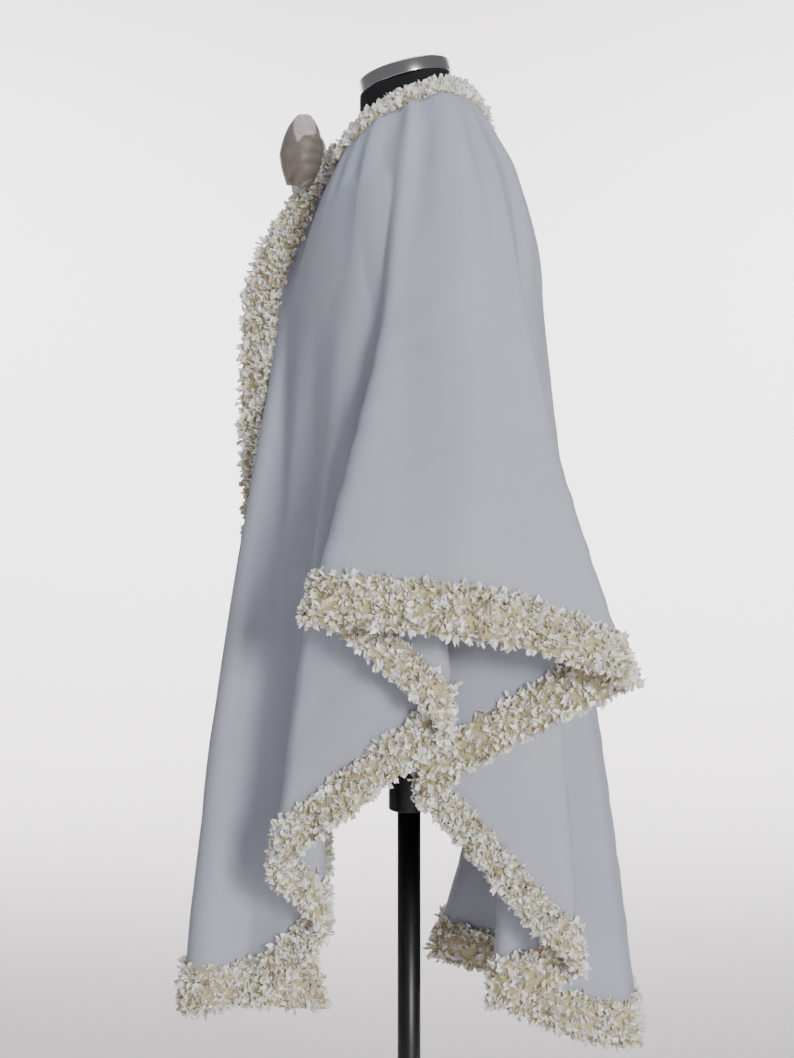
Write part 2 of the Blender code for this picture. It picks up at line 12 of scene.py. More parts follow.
import bpy
import numpy as np
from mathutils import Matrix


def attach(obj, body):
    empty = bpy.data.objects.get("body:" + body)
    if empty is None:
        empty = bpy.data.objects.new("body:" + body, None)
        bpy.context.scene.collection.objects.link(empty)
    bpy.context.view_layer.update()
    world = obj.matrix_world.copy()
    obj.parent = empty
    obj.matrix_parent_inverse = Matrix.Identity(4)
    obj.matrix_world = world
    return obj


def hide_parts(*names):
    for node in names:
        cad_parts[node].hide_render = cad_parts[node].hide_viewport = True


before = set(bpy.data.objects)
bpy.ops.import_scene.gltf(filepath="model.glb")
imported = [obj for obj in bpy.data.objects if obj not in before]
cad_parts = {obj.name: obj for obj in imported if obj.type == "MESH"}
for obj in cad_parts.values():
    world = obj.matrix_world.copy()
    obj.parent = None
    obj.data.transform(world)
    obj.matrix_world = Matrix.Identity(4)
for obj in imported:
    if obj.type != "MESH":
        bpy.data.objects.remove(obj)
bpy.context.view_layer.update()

# %% [markdown]
# ## The camera
#
# The photograph looks at the cape's left side, level, from about 1.6 m away and 1.04 m up. A shift moves
# the picture's frame without tilting the camera, so upright lines stay upright. The camera comes first,
# since every later choice of detail depends on what it sees.

# %% Camera
IMAGE_WIDTH, IMAGE_HEIGHT = 794, 1058
FOCAL = 1481.5  # in pixels of the photograph
AXIS_X, AXIS_Y = 409, 480  # the pixel that the camera looks straight at
CAMERA_AWAY, CAMERA_HEIGHT = 1.6, 1.04
SENSOR = 36.0

view = bpy.data.cameras.new("camera")
view.sensor_fit = "VERTICAL"
view.sensor_height = SENSOR
view.lens = SENSOR * FOCAL / IMAGE_HEIGHT
view.shift_x = (IMAGE_WIDTH / 2 - AXIS_X) / IMAGE_HEIGHT
view.shift_y = (AXIS_Y - IMAGE_HEIGHT / 2) / IMAGE_HEIGHT
camera = bpy.data.objects.new("camera", view)
camera.location = (CAMERA_AWAY, 0.0, CAMERA_HEIGHT)
camera.rotation_euler = (math.radians(90), 0.0, math.radians(90))
bpy.context.scene.collection.objects.link(camera)
bpy.context.scene.camera = camera
print(f"lens {view.lens:.1f} mm, shift {view.shift_x:.4f}, {view.shift_y:.4f}")

# %% [markdown]
# ## The cape's surface
#
# A draped cape falls in folds that start near the neck and open towards the hem. One table row describes
# one fold, by its place on the neckline, at the chest and at the hem. At the hem a fold is a round bend,
# and the panels between are the straight lines that touch the bends, like a belt round pulleys. These are
# the values that the solids were made from, so the fine shell lies on them.

# %% Sizes and folds
CLOTH = 0.0022  # thickness, in metres
CHEST = 0.30  # share of a column above the chest's row
ARC = 0.25  # a bend takes this much of s on each side of its fold
TRIM_WIDTH = 0.038  # of every ruffle
STEPS_A_FOLD = 80  # the hem is measured in this many steps from fold to fold
NECKLINE = [  # x, y, z
    (0.010, -0.092, 1.370),
    (0.038, -0.071, 1.392),
    (0.059, -0.042, 1.416),
    (0.066, -0.006, 1.437),
    (0.060, 0.026, 1.450),
    (0.036, 0.051, 1.457),
    (0.000, 0.062, 1.459),
]
# turn is 1 where a fold stands out and -1 where it goes in. neck is a share of the neckline, chest is a
# place, and hem is the centre of the fold's bend there, with its radius. rise is how far above the chest
# the curve over the shoulder turns down, leave and arrive are slopes at the chest and at the hem, and
# bulge is how far the panel up to the next fold bows.
Fold = namedtuple("Fold", "name turn neck chest hem radius rise leave arrive bulge")
LEFT_ROWS = [
    ("front_edge", 1, 0.00, (0.012, -0.176, 1.210), (0.020, -0.088, 0.476), 0.0, 0.08, -0.5, 1.8, 0.0),
    ("front_flute", 1, 0.21, (0.041, -0.127, 1.220), (0.088, -0.208, 0.503), 0.022, 0.07, 1.5, 0.5, 0.0),
    ("front_groove", -1, 0.28, (0.084, -0.112, 1.220), (0.102, -0.168, 0.505), 0.013, 0.09, 0.6, 0.8, 0.004),
    ("first_tuck", -1, 0.33, (0.116, -0.092, 1.225), (0.130, -0.099, 0.590), 0.016, 0.12, 0.1, 0.6, 0.003),
    ("first_ridge", 1, 0.38, (0.143, -0.070, 1.230), (0.172, -0.114, 0.658), 0.016, 0.14, 0.2, 0.8, 0.004),
    ("second_tuck", -1, 0.46, (0.168, -0.044, 1.235), (0.216, 0.020, 0.802), 0.015, 0.15, 0.3, -0.8, 0.0),
    ("side_front", 1, 0.55, (0.190, -0.016, 1.240), (0.250, -0.079, 0.912), 0.015, 0.155, 0.6, 1.1, 0.0),
    ("side", 1, 0.66, (0.208, 0.048, 1.250), (0.190, 0.050, 0.901), 0.095, 0.155, 0.5, 1.1, 0.0),
    ("side_back", 1, 0.79, (0.184, 0.099, 1.240), (0.250, 0.189, 0.853), 0.016, 0.14, 0.6, 1.2, 0.0),
    ("third_tuck", -1, 0.83, (0.151, 0.119, 1.230), (0.172, 0.029, 0.726), 0.015, 0.12, 0.4, -0.9, 0.004),
    ("back_ridge", 1, 0.87, (0.123, 0.129, 1.220), (0.142, 0.152, 0.555), 0.016, 0.12, 0.3, 1.0, 0.0),
    ("fourth_tuck", -1, 0.91, (0.090, 0.135, 1.220), (0.105, 0.099, 0.510), 0.016, 0.12, 0.2, 0.8, 0.004),
    ("back_flute", 1, 0.95, (0.054, 0.140, 1.220), (0.050, 0.210, 0.456), 0.028, 0.12, 0.6, 0.8, 0.004),
    ("centre_back", 1, 1.00, (0.000, 0.144, 1.220), (0.000, 0.240, 0.452), 0.0, 0.13, 0.8, 0.8, 0.0),
]
LEFT_FOLDS = [Fold(*row) for row in LEFT_ROWS]
RIGHT_CHANGES = {  # x, y, z, arrive
    "front_edge": (0.0, -0.010, 0.004, 0.0),
    "front_flute": (-0.006, -0.002, 0.010, 0.0),
    "first_tuck": (-0.004, -0.014, -0.012, 0.0),
    "first_ridge": (-0.004, 0.006, 0.016, 0.1),
    "second_tuck": (-0.004, -0.018, -0.010, 0.2),
    "side_front": (0.002, 0.010, 0.006, 0.0),
    "side_back": (0.0, -0.008, -0.010, 0.0),
    "third_tuck": (0.0, -0.012, 0.014, 0.0),
    "back_ridge": (0.0, 0.008, -0.008, 0.0),
    "fourth_tuck": (0.0, -0.056, -0.012, 1.4),
    "back_flute": (0.004, 0.0, 0.0, 0.0),
}


def right_folds():
    """The right half's folds: the left's, each moved at the hem by its row of RIGHT_CHANGES."""
    folds = []
    for fold in LEFT_FOLDS:
        change = RIGHT_CHANGES.get(fold.name, (0.0, 0.0, 0.0, 0.0))
        hem = tuple(a + b for a, b in zip(fold.hem, change))
        folds.append(fold._replace(hem=hem, arrive=fold.arrive + change[3]))
    return folds


print("folds in each half:", len(LEFT_FOLDS))

# %% [markdown]
# ## A curve through a table's values
#
# A smooth curve joins the rows of a table. An ordinary spline swings past its values where they change
# fast, which would put waves into plain cloth. This one keeps the cloth between two folds between them.

# %% A curve that never swings past its values


def smooth(values, s, places=None):
    """A piecewise cubic through rows of values. Its slope at a value is the harmonic mean of the slopes
    beside it, and nought where those have opposite signs."""
    rows = np.asarray(values, float)
    rows = rows.reshape(len(rows), -1)
    places = np.arange(len(rows)) if places is None else np.asarray(places)
    width = np.diff(places)[:, None]
    steep = np.diff(rows, axis=0) / width
    slope = np.zeros_like(rows)
    before, after = steep[:-1], steep[1:]
    same = before * after > 0
    slope[1:-1][same] = 2 * (before * after)[same] / (before + after)[same]
    slope[0], slope[-1] = steep[0], steep[-1]
    first = np.clip(np.searchsorted(places, s, side="right") - 1, 0, len(rows) - 2)
    f = ((s - places[first]) / width[first, 0])[..., None]
    return (
        rows[first] * (1 + 2 * f) * (1 - f) ** 2
        + slope[first] * width[first] * f * (1 - f) ** 2
        + rows[first + 1] * f**2 * (3 - 2 * f)
        - slope[first + 1] * width[first] * f**2 * (1 - f)
    )


print("halfway between 0 and 1:", smooth([0, 1, 1], np.array([0.5]))[0, 0])

# %% [markdown]
# ## One half of the cape
#
# A half is a function here: it takes a place along the folds and a share of the way down, and gives a
# point. A sculpted mesh could look the same, but a function can be asked for any place, coarse or fine,
# and it tells the ruffles where the cape's edges are.

# %% One half of the cape as a surface


class Half:
    """s counts the folds from the front edge to the centre back, and t runs from 0 at the neck to 1 at
    the free edge of the hem ruffle."""

    def __init__(self, folds, side):
        self.side = side
        self.last = len(folds) - 1
        self.neck = [fold.neck for fold in folds]
        self.chest = [fold.chest for fold in folds]
        self.hem_height = [fold.hem[2] for fold in folds]
        self.shape = [(fold.rise, fold.leave, fold.arrive) for fold in folds]
        self.bulge = np.array([fold.bulge for fold in folds])
        self.turn = np.array([fold.turn for fold in folds], float)
        self.radius = np.array([fold.radius for fold in folds])
        self.centre = np.array([fold.hem[:2] for fold in folds])
        ahead = np.diff(self.centre, axis=0)
        signed = self.turn * self.radius
        aside = signed[1:] - signed[:-1]
        self.heading = np.arctan2(ahead[:, 1], ahead[:, 0]) - np.arcsin(aside / np.hypot(*ahead.T))
        self.hem_s = np.linspace(0, self.last, STEPS_A_FOLD * self.last + 1)
        steps = np.linalg.norm(np.diff(self.hem_plan(self.hem_s), axis=0), axis=-1)
        self.hem_run = np.concatenate([[0.0], np.cumsum(steps)])

    def bend_point(self, i, angle):
        """The point of bend i at which the path runs in the direction angle."""
        left = np.stack([-np.sin(angle), np.cos(angle)], axis=-1)
        return self.centre[i] - (self.turn[i] * self.radius[i])[..., None] * left

    def hem_plan(self, s):
        """x and y of the hem: round arcs at the folds, joined by panels that bow out a little."""
        i = np.clip(np.round(s).astype(int), 0, self.last)
        came = self.heading[np.clip(i - 1, 0, self.last - 1)]
        goes = self.heading[np.clip(i, 0, self.last - 1)]
        swing = (self.turn[i] * (goes - came)) % (2 * math.pi)
        share = np.clip((s - i + ARC) / (2 * ARC), 0, 1)
        bend = self.bend_point(i, came + self.turn[i] * swing * share)
        leg = np.clip(np.floor(s).astype(int), 0, self.last - 1)
        first = np.where(leg == 0, 0.0, leg + ARC)
        final = np.where(leg == self.last - 1, self.last, leg + 1 - ARC)
        along = np.clip((s - first) / (final - first), 0, 1)[..., None]
        start = self.bend_point(leg, self.heading[leg])
        end = self.bend_point(leg + 1, self.heading[leg])
        right = np.stack([np.sin(self.heading[leg]), -np.cos(self.heading[leg])], axis=-1)
        bow = self.bulge[leg][..., None] * np.sin(math.pi * along) ** 2
        panel = start + (end - start) * along + right * bow
        on_bend = (np.abs(s - i) <= ARC) & (i > 0) & (i < self.last)
        return np.where(on_bend[..., None], bend, panel)

    def point(self, s, t):
        """A column is a curve over the shoulder from the neckline to the chest's row, and then a fall to
        the hem. With w the share fallen, its sideways part is the cubic in w that goes from 0 to 1 with
        the fold's slopes at its ends."""
        s, t = np.broadcast_arrays(np.asarray(s, float), np.asarray(t, float))
        neck = smooth(NECKLINE, smooth(self.neck, s)[..., 0] * (len(NECKLINE) - 1))
        chest = smooth(self.chest, s)
        run = np.interp(s, self.hem_s, self.hem_run)
        height = smooth(self.hem_height, run, self.hem_run[::STEPS_A_FOLD])
        hem = np.concatenate([self.hem_plan(s), height], axis=-1)
        rise, leave, arrive = np.moveaxis(smooth(self.shape, s)[..., None], -2, 0)
        fall = hem - chest
        top = chest + leave * fall * rise / fall[..., 2:]
        top[..., 2:] = chest[..., 2:] + rise
        q = np.clip(t / CHEST, 0, 1)[..., None]
        over = (1 - q) ** 2 * neck + 2 * q * (1 - q) * top + q**2 * chest
        w = np.clip((t - CHEST) / (1 - CHEST), 0, 1)[..., None]
        flare = leave * w + (3 - 2 * leave - arrive) * w**2 + (leave + arrive - 2) * w**3
        down = chest + fall * flare
        down[..., 2] = (chest + fall * w)[..., 2]
        found = np.where((t < CHEST)[..., None], over, down)
        return found * np.array([self.side, 1.0, 1.0])


halves = {"left": Half(LEFT_FOLDS, 1), "right": Half(right_folds(), -1)}
for side_name, half in halves.items():
    print(f"{side_name} hem runs {half.hem_run[-1]:.2f} m")

# %% [markdown]
# ## The form under the cloth
#
# Cloth can sink into a crease only as far as what it lies on lets it. The form's rings are written down
# here already, because the creases ask them how much room there is. A collision test with meshes would do
# the same, but a few rings and one formula are quicker and easy to read.

# %% The form's rings
TORSO_RINGS = [  # height, half width, front, back
    (0.745, 0.138, -0.094, 0.092),
    (0.790, 0.148, -0.100, 0.100),
    (0.850, 0.150, -0.099, 0.100),
    (0.920, 0.141, -0.092, 0.091),
    (0.990, 0.127, -0.084, 0.081),
    (1.040, 0.124, -0.083, 0.079),
    (1.100, 0.133, -0.094, 0.084),
    (1.165, 0.147, -0.112, 0.091),
    (1.220, 0.155, -0.119, 0.096),
    (1.270, 0.162, -0.112, 0.100),
    (1.305, 0.1645, -0.0994, 0.098),
    (1.328, 0.156, -0.088, 0.092),
    (1.346, 0.135, -0.077, 0.085),
    (1.362, 0.108, -0.069, 0.077),
    (1.378, 0.083, -0.062, 0.067),
    (1.395, 0.064, -0.057, 0.057),
    (1.420, 0.054, -0.053, 0.048),
    (1.448, 0.050, -0.053, 0.045),
    (1.4652, 0.049, -0.053, 0.045),
]
RING_POWER = 2 / 2.25  # a ring is a little squarer than an ellipse


def room_to_sink(points):
    """How far the cloth at these points can sink before it meets the form. The level distance to the
    ring at the point's height counts for a third, since the shoulders slope."""
    place = np.interp(points[..., 2], [ring[0] for ring in TORSO_RINGS], np.arange(len(TORSO_RINGS)))
    half_width, front, back = np.moveaxis(smooth(TORSO_RINGS, place), -1, 0)[1:]
    depth = np.where(points[..., 1] < 0, -front, back)
    power = 2 / RING_POWER
    aside = np.abs(points[..., 0] / half_width) ** power
    ahead = np.abs(points[..., 1] / depth) ** power
    out = (aside + ahead) ** (1 / power)
    level = np.hypot(points[..., 0], points[..., 1]) * (1 - 1 / np.maximum(out, 1e-6))
    return np.maximum(level / 3 - CLOTH, 0.0)


print("the form's rings:", len(TORSO_RINGS))

# %% [markdown]
# ## Creases
#
# Cloth that hangs also has creases that no fold accounts for: dimples where it leaves the neck seam,
# long soft troughs beside the folds, and slack ripples low down. Each row of the table below is one
# crease. It runs from one place on the surface to another, and lifts or sinks the cloth
# along its line, most in the middle of its width and length. A trough has a negative depth.

# %% The table of creases
Crease = namedtuple("Crease", "s0 t0 s1 t1 width depth")
LEFT_CREASE_ROWS = [
    (2.6, 0.07, 2.2, 0.36, 0.01, -0.003),
    (3.5, 0.05, 3.3, 0.24, 0.008, -0.0026),
    (4.3, 0.06, 4.1, 0.3, 0.01, -0.0028),
    (5.45, 0.02, 5.5, 0.92, 0.017, -0.0095),
    (6.0, 0.02, 6.0, 0.5, 0.011, 0.006),
    (5.95, 0.01, 6.0, 0.16, 0.006, 0.0038),
    (6.5, 0.05, 6.4, 0.3, 0.011, -0.0022),
    (7.4, 0.05, 7.7, 0.34, 0.01, -0.0024),
    (8.0, 0.02, 8.0, 0.6, 0.01, 0.0058),
    (8.5, 0.03, 8.6, 0.7, 0.012, -0.008),
    (9.6, 0.06, 9.5, 0.34, 0.008, -0.0022),
    (11.2, 0.05, 11.4, 0.36, 0.009, -0.0026),
    (12.3, 0.05, 12.5, 0.5, 0.012, -0.003),
    (1.45, 0.2, 1.55, 0.95, 0.015, -0.008),
    (2.5, 0.4, 2.45, 0.98, 0.012, -0.0028),
    (3.5, 0.45, 3.6, 0.97, 0.014, -0.003),
    (4.55, 0.42, 4.4, 0.9, 0.016, 0.0026),
    (6.35, 0.3, 6.6, 0.92, 0.02, -0.0028),
    (7.35, 0.42, 7.2, 0.97, 0.018, 0.0024),
    (8.5, 0.5, 8.45, 0.98, 0.016, -0.003),
    (9.5, 0.4, 9.6, 0.93, 0.014, 0.0026),
    (10.6, 0.45, 10.5, 0.98, 0.012, -0.0032),
    (11.45, 0.5, 11.5, 0.99, 0.013, 0.003),
    (12.4, 0.4, 12.3, 0.99, 0.016, -0.0036),
    (12.8, 0.55, 12.75, 0.99, 0.014, 0.0024),
]
RIGHT_CREASE_ROWS = [
    (2.3, 0.06, 2.4, 0.32, 0.01, -0.0028),
    (3.3, 0.05, 3.6, 0.28, 0.009, -0.0024),
    (4.6, 0.06, 4.4, 0.26, 0.01, -0.0028),
    (5.4, 0.03, 5.5, 0.84, 0.016, -0.0085),
    (6.0, 0.02, 6.1, 0.55, 0.01, 0.0055),
    (6.7, 0.05, 6.5, 0.34, 0.012, -0.0022),
    (7.6, 0.05, 7.4, 0.3, 0.01, -0.0026),
    (8.0, 0.02, 8.05, 0.54, 0.01, 0.006),
    (8.5, 0.04, 8.6, 0.66, 0.012, -0.007),
    (9.3, 0.06, 9.4, 0.3, 0.008, -0.0024),
    (10.4, 0.05, 10.6, 0.38, 0.009, -0.0022),
    (11.6, 0.05, 11.5, 0.34, 0.01, -0.0028),
    (12.5, 0.05, 12.3, 0.46, 0.012, -0.0028),
    (1.45, 0.22, 1.5, 0.9, 0.014, -0.007),
    (2.4, 0.45, 2.55, 0.97, 0.012, -0.003),
    (3.6, 0.4, 3.5, 0.94, 0.015, -0.0028),
    (4.4, 0.46, 4.5, 0.92, 0.015, 0.0028),
    (6.6, 0.34, 6.4, 0.95, 0.018, -0.0026),
    (7.2, 0.46, 7.35, 0.96, 0.02, 0.0022),
    (8.45, 0.46, 8.55, 0.97, 0.016, -0.0032),
    (9.6, 0.44, 9.45, 0.95, 0.014, 0.0028),
    (10.5, 0.5, 10.6, 0.98, 0.012, -0.003),
    (11.5, 0.46, 11.4, 0.99, 0.014, 0.0028),
    (12.35, 0.44, 12.5, 0.99, 0.015, -0.0032),
]
LEFT_CREASES = [Crease(*row) for row in LEFT_CREASE_ROWS]
RIGHT_CREASES = [Crease(*row) for row in RIGHT_CREASE_ROWS]
print("creases:", len(LEFT_CREASES), "left,", len(RIGHT_CREASES), "right")

# %% [markdown]
# ## A fine grid with the creases in it
#
# Each crease raises or sinks the half's surface along its own line. A displacement on a finished mesh
# could do that too, but numbers on a grid can be held off the form, and the steps that follow can read
# the creased surface at any place.

# %% A fine grid of each half, with its creases


def distances(points, axis):
    """The length run along an axis of a grid of points, from 0 at its start."""
    steps = np.linalg.norm(np.diff(points, axis=axis), axis=-1)
    first = np.zeros_like(np.take(steps, [0], axis=axis))
    return np.concatenate([first, np.cumsum(steps, axis=axis)], axis=axis)


def grid_normals(points, side):
    """The outward direction at each point of a grid whose rows run down and whose columns run back."""
    down = np.gradient(points, axis=0)
    back = np.gradient(points, axis=1)
    n = np.cross(down, back) * side
    return n / np.maximum(np.linalg.norm(n, axis=-1, keepdims=True), 1e-9)


class Draped:
    """A half's surface with its creases, kept as a fine grid that any place can be read from."""

    COLUMNS_A_FOLD, ROWS = 28, 181
    SEAM = 0.04  # creases grow over this length from the neck seam
    NEAR_FRONT = 2.5  # the front ruffle lies before this place in s
    FULL_AT = 0.7  # below 1, a crease is deepest before the middle of its line
    INSIDE = 1.001  # keeps a place off the grid's last row, so that it has a row after it
    RIPPLES = [  # length across, length down, height, all in metres
        (0.130, 0.420, 0.0004),
        (0.071, 0.330, 0.0003),
    ]

    def __init__(self, half, creases, seed):
        self.half = half
        self.s = np.linspace(0, half.last, self.COLUMNS_A_FOLD * half.last + 1)
        self.t = np.linspace(0, 1, self.ROWS)
        points = half.point(self.s[None, :], self.t[:, None])
        run = distances(points, 1)
        lift = np.zeros(points.shape[:2])
        for crease in creases:
            f = np.clip((self.t - crease.t0) / (crease.t1 - crease.t0), 0, 1)
            middle_s = crease.s0 + (crease.s1 - crease.s0) * f
            middle = np.array([np.interp(m, self.s, row) for m, row in zip(middle_s, run)])
            across = (run - middle[:, None]) / crease.width
            lift += crease.depth * np.exp(-(across**2)) * np.sin(math.pi * f**self.FULL_AT)[:, None]
        fallen = distances(points, 0)
        rng = np.random.default_rng(seed)
        for across, down, height in self.RIPPLES:
            turn, lean = rng.uniform(0, 2 * math.pi), rng.uniform(-0.3, 0.3)
            wave = 2 * math.pi * (run / across + fallen / down)
            lift += height * np.sin(wave + turn + lean * fallen / down)
        seam = np.minimum(fallen, self.SEAM) / self.SEAM
        lift = np.maximum(lift * seam, -room_to_sink(points))
        self.points = points + grid_normals(points, half.side) * lift[..., None]
        self.normals = grid_normals(self.points, half.side)
        self.measure_edges()

    def measure_edges(self):
        """Where the cloth stops and the ruffle starts, a ruffle's width in from each edge."""
        down = distances(self.points, 0)
        across = distances(self.points, 1)
        self.neck_edge = np.array([np.interp(TRIM_WIDTH, d, self.t) for d in down.T])
        self.hem_edge = np.array([np.interp(d[-1] - TRIM_WIDTH, d, self.t) for d in down.T])
        near = self.s < self.NEAR_FRONT
        self.front_edge = np.array([np.interp(TRIM_WIDTH, a[near], self.s[near]) for a in across])

    def edges(self, s, t):
        """The neck's and the hem's limit in t at s, and the front's limit in s at t."""
        return (
            np.interp(s, self.s, self.neck_edge),
            np.interp(s, self.s, self.hem_edge),
            np.interp(t, self.t, self.front_edge),
        )

    def read(self, grid, s, t):
        """The grid's value at any s and t, blended from the four grid points round it."""
        x = np.clip(np.asarray(s) / self.half.last * (len(self.s) - 1), 0, len(self.s) - self.INSIDE)
        y = np.clip(np.asarray(t) * (self.ROWS - 1), 0, self.ROWS - self.INSIDE)
        x, y = np.broadcast_arrays(x, y)
        i, j = x.astype(int), y.astype(int)
        u, v = (x - i)[..., None], (y - j)[..., None]
        top = grid[j, i] * (1 - u) + grid[j, i + 1] * u
        foot = grid[j + 1, i] * (1 - u) + grid[j + 1, i + 1] * u
        return top * (1 - v) + foot * v


drapes = {
    "left": Draped(halves["left"], LEFT_CREASES, 3),
    "right": Draped(halves["right"], RIGHT_CREASES, 8),
}
print("grid of each half:", drapes["left"].points.shape[:2])

# %% [markdown]
# ## Materials
#
# Each finish is one small node group of its own. The crepe is matt, with a pebbled weave under half a
# millimetre high. The petals' colours hold painted light. The deep cream at the root is painted shade, where
# the petals shade each other. The white at the frayed tip is a painted highlight, because a real petal is
# thin there and catches the light. The jersey, steel and paint are plain.

# %% Helpers for materials


def linear(hex_colour):
    """A colour written as the eye sees it, such as c8ccd4, turned into the renderer's light values."""
    parts = [int(hex_colour[i : i + 2], 16) / 255 for i in (0, 2, 4)]
    return tuple(p / 12.92 if p <= 0.04045 else ((p + 0.055) / 1.055) ** 2.4 for p in parts)


def finish(name, hex_colour, roughness, **sockets):
    """A new material whose shader has this colour and roughness, and any other socket by name."""
    material = bpy.data.materials.new(name)
    material.use_nodes = True
    shader = material.node_tree.nodes["Principled BSDF"]
    shader.inputs["Base Color"].default_value = (*linear(hex_colour), 1.0)
    shader.inputs["Roughness"].default_value = roughness
    for socket, value in sockets.items():
        shader.inputs[socket.replace("_", " ")].default_value = value
    return material


def add_node(material, kind, inputs=(), **settings):
    """A new node, with its settings, its input values and its links from other nodes' outputs."""
    node = material.node_tree.nodes.new(kind)
    for key, value in settings.items():
        setattr(node, key, value)
    for key, value in dict(inputs).items():
        if isinstance(value, bpy.types.NodeSocket):
            material.node_tree.links.new(value, node.inputs[key])
        else:
            node.inputs[key].default_value = value
    return node


def add_bump(material, height, distance, strength):
    """Relief of a real height in metres on the material's shader."""
    bump = add_node(
        material, "ShaderNodeBump", {"Height": height, "Distance": distance, "Strength": strength}
    )
    shader = material.node_tree.nodes["Principled BSDF"]
    material.node_tree.links.new(bump.outputs["Normal"], shader.inputs["Normal"])


print("mid grey in light values:", round(linear("808080")[0], 3))

# %% [markdown]
# ## The finishes
#
# The crepe's tone wanders a little, since cloth never reflects quite evenly. The ribbon lets a third of
# the light through, because organza is sheer. All patterns are worked out in the object's own space, so
# they need no unwrapping and have their true size.

# %% The finishes
PEBBLE = 0.0011  # size of the crepe's grain, in metres
KNIT = 0.0009  # size of the jersey's stitches
CLOUDS = 9.0  # how fine the crepe's changes of tone are

crepe = finish("wool_crepe_off_white", "abb0ba", 0.9)
place = add_node(crepe, "ShaderNodeTexCoord").outputs["Object"]
grain = add_node(crepe, "ShaderNodeTexNoise", {"Vector": place, "Scale": 1 / PEBBLE, "Detail": 2.0})
add_bump(crepe, grain.outputs["Fac"], 0.0005, 0.5)
soft = add_node(crepe, "ShaderNodeTexNoise", {"Vector": place, "Scale": CLOUDS, "Detail": 3.0})
tone = add_node(
    crepe,
    "ShaderNodeMix",
    {"Factor": soft.outputs["Fac"], "A": (*linear("a3a9b7"), 1.0), "B": (*linear("b3b5bc"), 1.0)},
    data_type="RGBA",
)
crepe.node_tree.links.new(
    tone.outputs["Result"], crepe.node_tree.nodes["Principled BSDF"].inputs["Base Color"]
)

petal = finish("frayed_organza_ivory", "e9e1cf", 0.62)
shade = add_node(petal, "ShaderNodeVertexColor", layer_name="shade")
petal.node_tree.links.new(
    shade.outputs["Color"], petal.node_tree.nodes["Principled BSDF"].inputs["Base Color"]
)

ribbon = finish("ribbon_organza_champagne", "80776c", 0.45, Alpha=0.68)
jersey = finish("jersey_black", "0c0c0d", 0.85)
place = add_node(jersey, "ShaderNodeTexCoord").outputs["Object"]
stitch = add_node(jersey, "ShaderNodeTexNoise", {"Vector": place, "Scale": 1 / KNIT, "Detail": 1.0})
add_bump(jersey, stitch.outputs["Fac"], 0.0003, 0.6)
steel = finish("steel_brushed", "b4b5b8", 0.18, Metallic=1.0)
paint = finish("paint_satin_black", "101011", 0.38)
print("finishes:", ", ".join(m.name for m in (crepe, petal, ribbon, jersey, steel, paint)))

# %% [markdown]
# ## The cloth
#
# Each half becomes a closed shell: the outer face, the inner face 2.2 mm behind it and a rim round both.
# A shell has a true inside, so the render shows the cape's wrong side through its open hem. The shell
# runs a little way under the ruffles, as sewn cloth does.

# %% Helpers that make objects


def add_piece(name, points, faces, material, node):
    """A smooth mesh object that rides on the frame and stands for the node that it replaces."""
    mesh = bpy.data.meshes.new(name)
    mesh.from_pydata(np.asarray(points).reshape(-1, 3).tolist(), [], faces)
    mesh.validate()
    mesh.shade_smooth()
    mesh.materials.append(material)
    piece = bpy.data.objects.new(name, mesh)
    bpy.context.scene.collection.objects.link(piece)
    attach(piece, "root")
    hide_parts(node)
    return piece


def quads(rows, cols, start=0, flip=False, wrap=False):
    """The faces of a grid of points numbered row by row from start."""
    index = start + np.arange(rows * cols).reshape(rows, cols)
    if wrap:
        index = np.concatenate([index, index[:, :1]], axis=1)
    found = np.stack([index[:-1, :-1], index[1:, :-1], index[1:, 1:], index[:-1, 1:]], axis=-1)
    found = found.reshape(-1, 4)
    return (found[:, ::-1] if flip else found).tolist()


def shell(outer, inner, flip):
    """Points and faces of a closed wall between two grids of the same shape."""
    rows, cols = outer.shape[:2]
    count = rows * cols
    faces = quads(rows, cols, 0, flip) + quads(rows, cols, count, not flip)
    grid = np.arange(count).reshape(rows, cols)
    rim = np.concatenate([grid[0, :], grid[1:, -1], grid[-1, -2::-1], grid[-2:0:-1, 0]])
    after = np.roll(rim, -1)
    band = np.stack([rim, after, after + count, rim + count], axis=-1)
    faces += (band[:, ::-1] if flip else band).tolist()
    return np.concatenate([outer.reshape(-1, 3), inner.reshape(-1, 3)]), faces


print("faces of a 3 by 3 grid:", len(quads(3, 3)))

# %% [markdown]
# ## The two halves
#
# The shell's columns lie close together on the bends, where the cloth turns fast, and further apart on
# the panels. An even grid would spend its faces on flat cloth. Near the front the columns lean, so that
# the cloth's edge stays under the front ruffle.

# %% The two halves
UNDER = 0.006  # how far the cloth runs on under the ruffles
CLOTH_ROWS, BEND_COLUMNS, PANEL_COLUMNS = 112, 9, 9
SETTLE_STEPS = 8  # rounds in which the rows and the columns settle on each other
PUSHED = 2.2  # columns before this place in s make room for the front ruffle


def cloth_columns(half):
    """Places of the shell's columns, close together on the bends."""
    found = [np.linspace(0, 1 - ARC, PANEL_COLUMNS, endpoint=False)]
    for i in range(1, half.last):
        found.append(np.linspace(i - ARC, i + ARC, BEND_COLUMNS, endpoint=False))
        end = i + 1 - ARC if i < half.last - 1 else half.last
        found.append(np.linspace(i + ARC, end, PANEL_COLUMNS, endpoint=False))
    return np.concatenate(found + [[float(half.last)]])


